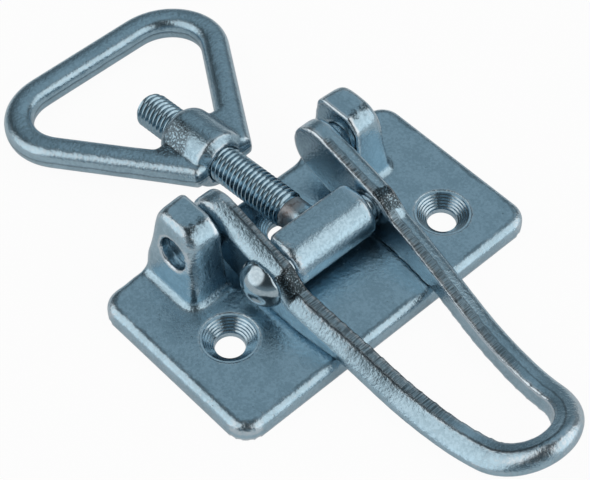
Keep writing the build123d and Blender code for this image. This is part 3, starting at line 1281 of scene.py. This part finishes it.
@dataclass
class TBolt(SolidSkin):
    """The barrel and neck from the CAD node, with a wound thread for the rod."""

    rod: Rod = field(default_factory=Rod.of_frame)
    overlap: float = 0.5 * MM
    thread_finish: ZincFinish | None = None

    def build(self) -> bpy.types.Object:
        """Show the barrel and the thread in place of the node.

        Returns:
            The barrel's object.
        """
        rod = self.rod
        barrel = self.welded()
        cut = rod.spot(rod.thread_from + self.overlap)
        everything = barrel.verts[:] + barrel.edges[:] + barrel.faces[:]
        sliced = bmesh.ops.bisect_plane(
            barrel, geom=everything, plane_co=cut, plane_no=rod.heading, clear_outer=True)
        rim = [item for item in sliced["geom_cut"] if isinstance(item, bmesh.types.BMEdge)]
        bmesh.ops.edgeloop_fill(barrel, edges=rim)
        shown = self.show(self.rounded(barrel), self.node)
        finish = self.thread_finish or self.finish
        Piece("rod_thread", self.body, self.slot, finish).show(rod.mesh(finish.material()))
        return shown


@dataclass
class PhotoCamera:
    """The camera that took the photo, found from the plate's corners and edges."""

    azimuth: float = math.radians(46.915)
    elevation: float = math.radians(51.823)
    roll: float = math.radians(0.261)
    distance: float = 458.394 * MM
    target: Place = (-10.768 * MM, 1.725 * MM, 0.0)
    focal_pixels: float = 1772.59
    image_width: float = 590.0
    sensor: float = 36.0
    nearest: float = 10.0 * MM

    def build(self) -> bpy.types.Object:
        """Make the camera and set it as the scene's own.

        Returns:
            The camera object.
        """
        level = math.cos(self.elevation)
        right = Vector((math.cos(self.azimuth), math.sin(self.azimuth), 0.0))
        back = Vector((right.y * level, -right.x * level, math.sin(self.elevation)))
        up = back.cross(right)
        x_axis = right * math.cos(self.roll) + up * math.sin(self.roll)
        y_axis = up * math.cos(self.roll) - right * math.sin(self.roll)
        turn = Matrix((x_axis, y_axis, back)).transposed().to_4x4()
        lens = bpy.data.cameras.new("photo_camera")
        lens.sensor_fit = "HORIZONTAL"
        lens.sensor_width = self.sensor
        lens.lens = self.focal_pixels * self.sensor / self.image_width
        lens.clip_start = self.nearest
        camera = placed("photo_camera", lens)
        camera.matrix_world = Matrix.Translation(Vector(self.target) + back * self.distance) @ turn
        bpy.context.scene.camera = camera
        return camera


class Glow(Enum):
    """The tint of a light."""

    WARM = (1.0, 0.95, 0.92, 1.0)
    COOL = (0.78, 0.92, 1.0, 1.0)


@dataclass(frozen=True)
class Panel:
    """One soft, round panel of light in the studio's sky; its angles are in degrees."""

    toward: Place
    full_within: float
    fades_by: float
    strength: float
    glow: Glow = Glow.WARM


@dataclass
class Studio:
    """A pale floor and a sky of soft panels."""

    floor_size: float = 6.0
    floor_drop: float = 0.2 * MM
    floor_tone: float = 0.86
    floor_glow: float = 0.95
    mirrored_glow: float = 0.25
    sky_tone: float = 0.075
    horizon_tone: float = 0.30
    horizon_rise: float = 0.5
    panels: tuple[Panel, ...] = (
        Panel((0.74, 0.50, 0.45), 33.0, 46.0, 1.3),
        Panel((-0.38, -0.72, 0.58), 30.0, 42.0, 1.25),
        Panel((-0.36, 0.50, 0.79), 20.0, 37.0, 0.46, Glow.COOL),
    )

    def floor(self) -> None:
        """Lay a white floor that keeps a part of the latch's shadow."""
        half, low = self.floor_size / 2, -self.floor_drop
        mesh = bpy.data.meshes.new("floor")
        mesh.from_pydata([(-half, -half, low), (half, -half, low), (half, half, low), (-half, half, low)],
                         [], [(0, 1, 2, 3)])
        made = bpy.data.materials.new("white_floor")
        made.use_nodes = True
        graph = Graph(made.node_tree)
        tone = self.floor_tone
        paper = graph.wire("ShaderNodeBsdfDiffuse", {"Color": (tone, tone, tone, 1.0)})
        glow = graph.wire("ShaderNodeEmission", {})
        path = graph.node("ShaderNodeLightPath").outputs
        mirrored = graph.math("MAXIMUM", path["Is Glossy Ray"], path["Is Transmission Ray"])
        seen = graph.product(path["Is Camera Ray"], self.floor_glow)
        seen = graph.math("MULTIPLY_ADD", mirrored, self.mirrored_glow, seen)
        both = graph.node("ShaderNodeMixShader")
        for socket, value in zip(both.inputs, (seen, paper, glow)):
            graph.feed(socket, value)
        graph.feed(graph.node("ShaderNodeOutputMaterial").inputs["Surface"], both.outputs[0])
        mesh.materials.append(made)
        placed("floor", mesh)

    def sky(self) -> None:
        """Light the room by soft panels in a dim sky."""
        world = bpy.data.worlds.new("studio")
        world.use_nodes = True
        graph = Graph(world.node_tree)
        way = graph.node("ShaderNodeTexCoord").outputs["Generated"]
        rise = graph.split(way)[2]
        haze = graph.step(rise, self.horizon_rise, 0.0)
        tone = graph.math("MULTIPLY_ADD", haze, self.horizon_tone, self.sky_tone)
        light = graph.wire("ShaderNodeBackground", {"Color": Glow.COOL.value, "Strength": tone})
        for panel in self.panels:
            lean = graph.vectors("DOT_PRODUCT", way, Vector(panel.toward).normalized())
            edge, core = (math.cos(math.radians(angle)) for angle in (panel.fades_by, panel.full_within))
            share = graph.product(graph.step(lean, edge, core), panel.strength)
            lamp = graph.wire("ShaderNodeBackground", {"Color": panel.glow.value, "Strength": share})
            both = graph.node("ShaderNodeAddShader")
            graph.feed(both.inputs[0], light)
            graph.feed(both.inputs[1], lamp)
            light = both.outputs[0]
        graph.feed(graph.node("ShaderNodeOutputWorld").inputs["Surface"], light)
        bpy.context.scene.world = world

    def build(self) -> None:
        """Set up the floor and the sky."""
        self.floor()
        self.sky()
        bpy.context.scene.view_settings.view_transform = "Standard"


def main() -> None:
    """Dress the latch, then set up the studio and the camera."""
    logging.basicConfig(level=logging.INFO, format="%(name)s: %(message)s")
    rod = Rod.of_frame()
    plated = PlateFinish("plate_zinc")
    turned = ZincFinish("turned_zinc", Grain.ROLLED, (0.48, 0.61, 0.69), (0.38, 0.51, 0.59),
                        roughness=0.15, pits=0.1)
    sheared = ShearedLeverFinish("sheared_zinc")
    polished = ZincFinish("polished_zinc", Grain.POLISHED, (0.42, 0.52, 0.58), (0.36, 0.46, 0.52),
                          roughness=0.14, pits=0.1, wear=0.0)
    necked = StainedNeckFinish("necked_zinc", neck_spot=tuple(rod.spot(rod.neck_at)))
    rolled = ZincFinish("rolled_zinc", Grain.ROLLED, roughness=0.22, pits=0.3)
    parted = PartedEyeFinish("parted_zinc", wear=0.35, rod_turn=rod.tilt(), rod_origin=tuple(rod.origin))
    BaseSkin("base_plate_skin", "base", "base_zinc", plated, node="base_plate").build()
    TurnedSeats("turned_seats", "base", "base_zinc", turned).build()
    LeverSkin("lever_skin", "lever", "lever_zinc", sheared, node="lever").build()
    RivetSkin("rivet_skin", "lever", "rivet_zinc", polished, node="trunnion_rivet", voxel=0.3 * MM).build()
    TBolt("barrel_skin", "t_bolt", "bolt_zinc", necked, node="t_bolt", thread_finish=rolled).build()
    EyeSkin("eye_skin", "eye", "eye_zinc", parted, node="eye").build()
    Studio().build()
    PhotoCamera().build()


if __name__ == "__main__":
    main()
